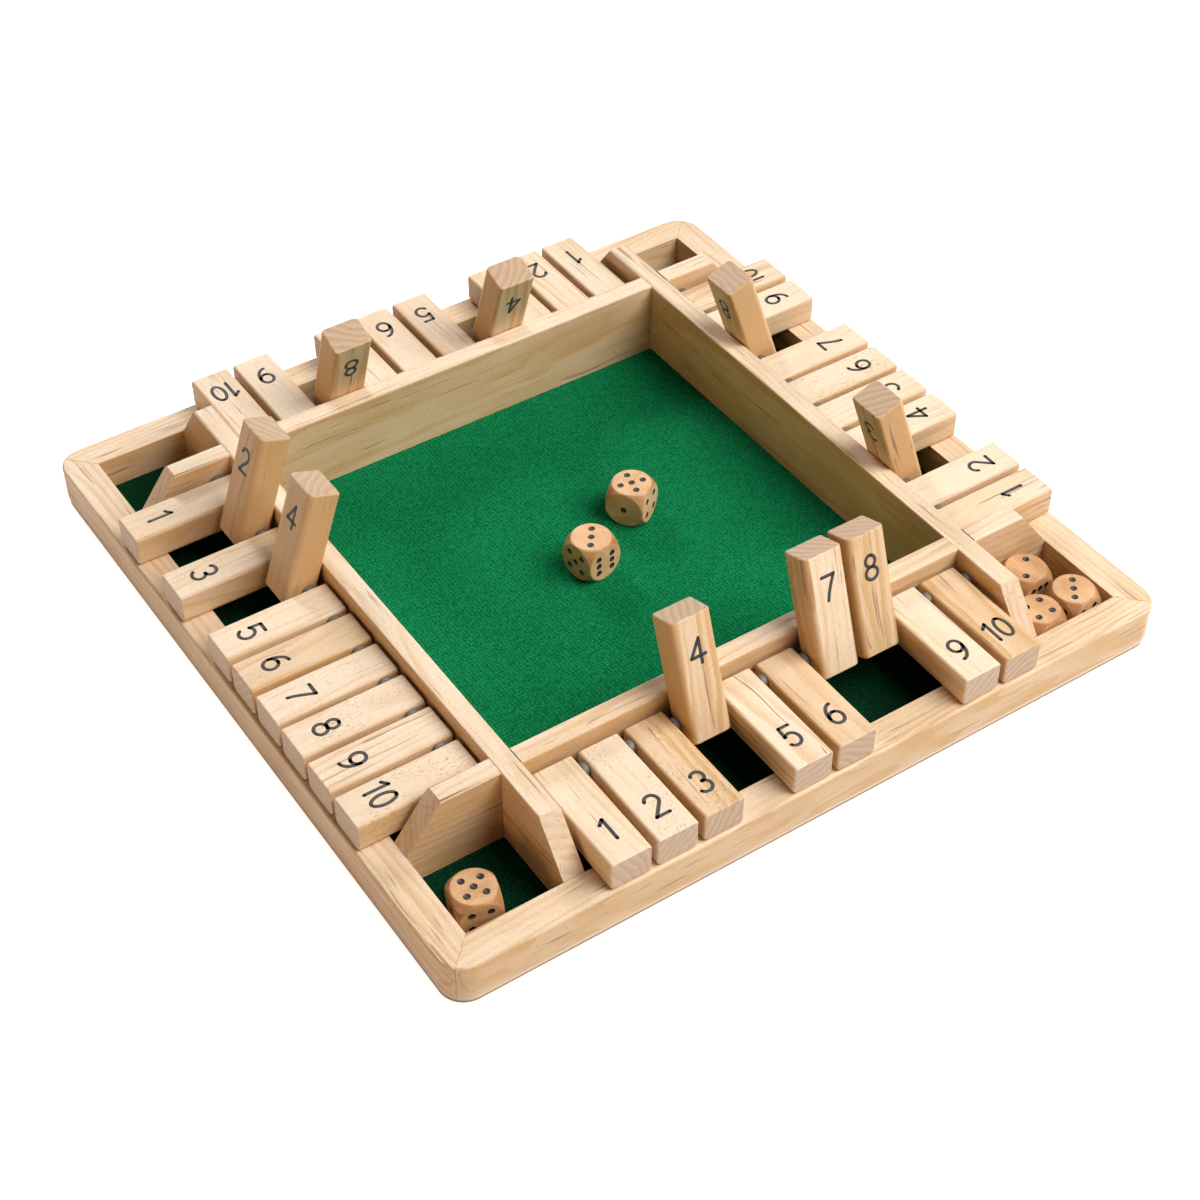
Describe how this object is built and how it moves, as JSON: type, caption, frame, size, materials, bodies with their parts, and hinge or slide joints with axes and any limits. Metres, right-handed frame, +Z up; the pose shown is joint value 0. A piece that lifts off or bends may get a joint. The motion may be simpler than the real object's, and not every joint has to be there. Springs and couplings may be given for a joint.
{
  "type": "shut the box game",
  "caption": "Square wooden number-tile dice game: felted tray, a hinged row of numbered flip tiles along each side, dice pockets at the corners and loose wooden dice.",
  "frame": {"origin": "middle of the underside of the bottom panel", "axes": "+Z up; -Y is the side whose row starts at the pocket with one die and ends at the pocket with three dice; +X is to the right for the player at that side"},
  "size_m": [0.305, 0.305, 0.0696],
  "materials": {
    "wood_rail": "satin",
    "wood_wall": "satin",
    "wood_base": "matte",
    "wood_tile": "satin",
    "wood_die": "satin",
    "felt": "matte",
    "rod_steel": "satin",
    "washer": "satin"
  },
  "bodies": {
    "board": {"base_panel": "wood_base", "felt_lining": "felt", "pivot_rods": "rod_steel", "spacer_washers": "washer", "rail_front": "wood_rail", "rail_right": "wood_rail", "rail_back": "wood_rail", "rail_left": "wood_rail", "wall_front": "wood_wall", "wall_right": "wood_wall", "wall_back": "wood_wall", "wall_left": "wood_wall"},
    "tile_front_1": {"tile_front_1": "wood_tile"},
    "tile_front_2": {"tile_front_2": "wood_tile"},
    "tile_front_3": {"tile_front_3": "wood_tile"},
    "tile_front_4": {"tile_front_4": "wood_tile"},
    "tile_front_5": {"tile_front_5": "wood_tile"},
    "tile_front_6": {"tile_front_6": "wood_tile"},
    "tile_front_7": {"tile_front_7": "wood_tile"},
    "tile_front_8": {"tile_front_8": "wood_tile"},
    "tile_front_9": {"tile_front_9": "wood_tile"},
    "tile_front_10": {"tile_front_10": "wood_tile"},
    "tile_right_1": {"tile_right_1": "wood_tile"},
    "tile_right_2": {"tile_right_2": "wood_tile"},
    "tile_right_3": {"tile_right_3": "wood_tile"},
    "tile_right_4": {"tile_right_4": "wood_tile"},
    "tile_right_5": {"tile_right_5": "wood_tile"},
    "tile_right_6": {"tile_right_6": "wood_tile"},
    "tile_right_7": {"tile_right_7": "wood_tile"},
    "tile_right_8": {"tile_right_8": "wood_tile"},
    "tile_right_9": {"tile_right_9": "wood_tile"},
    "tile_right_10": {"tile_right_10": "wood_tile"},
    "tile_back_1": {"tile_back_1": "wood_tile"},
    "tile_back_2": {"tile_back_2": "wood_tile"},
    "tile_back_3": {"tile_back_3": "wood_tile"},
    "tile_back_4": {"tile_back_4": "wood_tile"},
    "tile_back_5": {"tile_back_5": "wood_tile"},
    "tile_back_6": {"tile_back_6": "wood_tile"},
    "tile_back_7": {"tile_back_7": "wood_tile"},
    "tile_back_8": {"tile_back_8": "wood_tile"},
    "tile_back_9": {"tile_back_9": "wood_tile"},
    "tile_back_10": {"tile_back_10": "wood_tile"},
    "tile_left_1": {"tile_left_1": "wood_tile"},
    "tile_left_2": {"tile_left_2": "wood_tile"},
    "tile_left_3": {"tile_left_3": "wood_tile"},
    "tile_left_4": {"tile_left_4": "wood_tile"},
    "tile_left_5": {"tile_left_5": "wood_tile"},
    "tile_left_6": {"tile_left_6": "wood_tile"},
    "tile_left_7": {"tile_left_7": "wood_tile"},
    "tile_left_8": {"tile_left_8": "wood_tile"},
    "tile_left_9": {"tile_left_9": "wood_tile"},
    "tile_left_10": {"tile_left_10": "wood_tile"},
    "die_1": {"die_1": "wood_die"},
    "die_2": {"die_2": "wood_die"},
    "die_3": {"die_3": "wood_die"},
    "die_4": {"die_4": "wood_die"},
    "die_5": {"die_5": "wood_die"},
    "die_6": {"die_6": "wood_die"}
  },
  "joints": [
    {"name": "tile_front_1_hinge", "type": "hinge", "parent": "board", "child": "tile_front_1", "pos_m": [-0.08352, -0.10913, 0.0271], "axis": [-1, 0, 0], "range_deg": [0, 109.19]},
    {"name": "tile_front_2_hinge", "type": "hinge", "parent": "board", "child": "tile_front_2", "pos_m": [-0.06496, -0.10913, 0.0271], "axis": [-1, 0, 0], "range_deg": [0, 109.19]},
    {"name": "tile_front_3_hinge", "type": "hinge", "parent": "board", "child": "tile_front_3", "pos_m": [-0.0464, -0.10913, 0.0271], "axis": [-1, 0, 0], "range_deg": [0, 109.19]},
    {"name": "tile_front_4_hinge", "type": "hinge", "parent": "board", "child": "tile_front_4", "pos_m": [-0.02784, -0.10913, 0.0271], "axis": [-1, 0, 0], "range_deg": [-109.19, 0]},
    {"name": "tile_front_5_hinge", "type": "hinge", "parent": "board", "child": "tile_front_5", "pos_m": [-0.00928, -0.10913, 0.0271], "axis": [-1, 0, 0], "range_deg": [0, 109.19]},
    {"name": "tile_front_6_hinge", "type": "hinge", "parent": "board", "child": "tile_front_6", "pos_m": [0.00928, -0.10913, 0.0271], "axis": [-1, 0, 0], "range_deg": [0, 109.19]},
    {"name": "tile_front_7_hinge", "type": "hinge", "parent": "board", "child": "tile_front_7", "pos_m": [0.02784, -0.10913, 0.0271], "axis": [-1, 0, 0], "range_deg": [-109.19, 0]},
    {"name": "tile_front_8_hinge", "type": "hinge", "parent": "board", "child": "tile_front_8", "pos_m": [0.0464, -0.10913, 0.0271], "axis": [-1, 0, 0], "range_deg": [-109.19, 0]},
    {"name": "tile_front_9_hinge", "type": "hinge", "parent": "board", "child": "tile_front_9", "pos_m": [0.06496, -0.10913, 0.0271], "axis": [-1, 0, 0], "range_deg": [0, 109.19]},
    {"name": "tile_front_10_hinge", "type": "hinge", "parent": "board", "child": "tile_front_10", "pos_m": [0.08352, -0.10913, 0.0271], "axis": [-1, 0, 0], "range_deg": [0, 109.19]},
    {"name": "tile_right_1_hinge", "type": "hinge", "parent": "board", "child": "tile_right_1", "pos_m": [0.10913, -0.08352, 0.0271], "axis": [0, -1, 0], "range_deg": [0, 109.19]},
    {"name": "tile_right_2_hinge", "type": "hinge", "parent": "board", "child": "tile_right_2", "pos_m": [0.10913, -0.06496, 0.0271], "axis": [0, -1, 0], "range_deg": [0, 109.19]},
    {"name": "tile_right_3_hinge", "type": "hinge", "parent": "board", "child": "tile_right_3", "pos_m": [0.10913, -0.0464, 0.0271], "axis": [0, -1, 0], "range_deg": [-109.19, 0]},
    {"name": "tile_right_4_hinge", "type": "hinge", "parent": "board", "child": "tile_right_4", "pos_m": [0.10913, -0.02784, 0.0271], "axis": [0, -1, 0], "range_deg": [0, 109.19]},
    {"name": "tile_right_5_hinge", "type": "hinge", "parent": "board", "child": "tile_right_5", "pos_m": [0.10913, -0.00928, 0.0271], "axis": [0, -1, 0], "range_deg": [0, 109.19]},
    {"name": "tile_right_6_hinge", "type": "hinge", "parent": "board", "child": "tile_right_6", "pos_m": [0.10913, 0.00928, 0.0271], "axis": [0, -1, 0], "range_deg": [0, 109.19]},
    {"name": "tile_right_7_hinge", "type": "hinge", "parent": "board", "child": "tile_right_7", "pos_m": [0.10913, 0.02784, 0.0271], "axis": [0, -1, 0], "range_deg": [0, 109.19]},
    {"name": "tile_right_8_hinge", "type": "hinge", "parent": "board", "child": "tile_right_8", "pos_m": [0.10913, 0.0464, 0.0271], "axis": [0, -1, 0], "range_deg": [-109.19, 0]},
    {"name": "tile_right_9_hinge", "type": "hinge", "parent": "board", "child": "tile_right_9", "pos_m": [0.10913, 0.06496, 0.0271], "axis": [0, -1, 0], "range_deg": [0, 109.19]},
    {"name": "tile_right_10_hinge", "type": "hinge", "parent": "board", "child": "tile_right_10", "pos_m": [0.10913, 0.08352, 0.0271], "axis": [0, -1, 0], "range_deg": [0, 109.19]},
    {"name": "tile_back_1_hinge", "type": "hinge", "parent": "board", "child": "tile_back_1", "pos_m": [0.08352, 0.10913, 0.0271], "axis": [1, 0, 0], "range_deg": [0, 109.19]},
    {"name": "tile_back_2_hinge", "type": "hinge", "parent": "board", "child": "tile_back_2", "pos_m": [0.06496, 0.10913, 0.0271], "axis": [1, 0, 0], "range_deg": [0, 109.19]},
    {"name": "tile_back_3_hinge", "type": "hinge", "parent": "board", "child": "tile_back_3", "pos_m": [0.0464, 0.10913, 0.0271], "axis": [1, 0, 0], "range_deg": [0, 109.19]},
    {"name": "tile_back_4_hinge", "type": "hinge", "parent": "board", "child": "tile_back_4", "pos_m": [0.02784, 0.10913, 0.0271], "axis": [1, 0, 0], "range_deg": [-109.19, 0]},
    {"name": "tile_back_5_hinge", "type": "hinge", "parent": "board", "child": "tile_back_5", "pos_m": [0.00928, 0.10913, 0.0271], "axis": [1, 0, 0], "range_deg": [0, 109.19]},
    {"name": "tile_back_6_hinge", "type": "hinge", "parent": "board", "child": "tile_back_6", "pos_m": [-0.00928, 0.10913, 0.0271], "axis": [1, 0, 0], "range_deg": [0, 109.19]},
    {"name": "tile_back_7_hinge", "type": "hinge", "parent": "board", "child": "tile_back_7", "pos_m": [-0.02784, 0.10913, 0.0271], "axis": [1, 0, 0], "range_deg": [0, 109.19]},
    {"name": "tile_back_8_hinge", "type": "hinge", "parent": "board", "child": "tile_back_8", "pos_m": [-0.0464, 0.10913, 0.0271], "axis": [1, 0, 0], "range_deg": [-109.19, 0]},
    {"name": "tile_back_9_hinge", "type": "hinge", "parent": "board", "child": "tile_back_9", "pos_m": [-0.06496, 0.10913, 0.0271], "axis": [1, 0, 0], "range_deg": [0, 109.19]},
    {"name": "tile_back_10_hinge", "type": "hinge", "parent": "board", "child": "tile_back_10", "pos_m": [-0.08352, 0.10913, 0.0271], "axis": [1, 0, 0], "range_deg": [0, 109.19]},
    {"name": "tile_left_1_hinge", "type": "hinge", "parent": "board", "child": "tile_left_1", "pos_m": [-0.10913, 0.08352, 0.0271], "axis": [0, 1, 0], "range_deg": [0, 109.19]},
    {"name": "tile_left_2_hinge", "type": "hinge", "parent": "board", "child": "tile_left_2", "pos_m": [-0.10913, 0.06496, 0.0271], "axis": [0, 1, 0], "range_deg": [-109.19, 0]},
    {"name": "tile_left_3_hinge", "type": "hinge", "parent": "board", "child": "tile_left_3", "pos_m": [-0.10913, 0.0464, 0.0271], "axis": [0, 1, 0], "range_deg": [0, 109.19]},
    {"name": "tile_left_4_hinge", "type": "hinge", "parent": "board", "child": "tile_left_4", "pos_m": [-0.10913, 0.02784, 0.0271], "axis": [0, 1, 0], "range_deg": [-109.19, 0]},
    {"name": "tile_left_5_hinge", "type": "hinge", "parent": "board", "child": "tile_left_5", "pos_m": [-0.10913, 0.00928, 0.0271], "axis": [0, 1, 0], "range_deg": [0, 109.19]},
    {"name": "tile_left_6_hinge", "type": "hinge", "parent": "board", "child": "tile_left_6", "pos_m": [-0.10913, -0.00928, 0.0271], "axis": [0, 1, 0], "range_deg": [0, 109.19]},
    {"name": "tile_left_7_hinge", "type": "hinge", "parent": "board", "child": "tile_left_7", "pos_m": [-0.10913, -0.02784, 0.0271], "axis": [0, 1, 0], "range_deg": [0, 109.19]},
    {"name": "tile_left_8_hinge", "type": "hinge", "parent": "board", "child": "tile_left_8", "pos_m": [-0.10913, -0.0464, 0.0271], "axis": [0, 1, 0], "range_deg": [0, 109.19]},
    {"name": "tile_left_9_hinge", "type": "hinge", "parent": "board", "child": "tile_left_9", "pos_m": [-0.10913, -0.06496, 0.0271], "axis": [0, 1, 0], "range_deg": [0, 109.19]},
    {"name": "tile_left_10_hinge", "type": "hinge", "parent": "board", "child": "tile_left_10", "pos_m": [-0.10913, -0.08352, 0.0271], "axis": [0, 1, 0], "range_deg": [0, 109.19]},
    {"name": "die_1_lift", "type": "slide", "parent": "board", "child": "die_1", "axis": [0, 0, 1], "range_m": [0, 0.06]},
    {"name": "die_2_lift", "type": "slide", "parent": "board", "child": "die_2", "axis": [0, 0, 1], "range_m": [0, 0.06]},
    {"name": "die_3_lift", "type": "slide", "parent": "board", "child": "die_3", "axis": [0, 0, 1], "range_m": [0, 0.06]},
    {"name": "die_4_lift", "type": "slide", "parent": "board", "child": "die_4", "axis": [0, 0, 1], "range_m": [0, 0.06]},
    {"name": "die_5_lift", "type": "slide", "parent": "board", "child": "die_5", "axis": [0, 0, 1], "range_m": [0, 0.06]},
    {"name": "die_6_lift", "type": "slide", "parent": "board", "child": "die_6", "axis": [0, 0, 1], "range_m": [0, 0.06]}
  ]
}
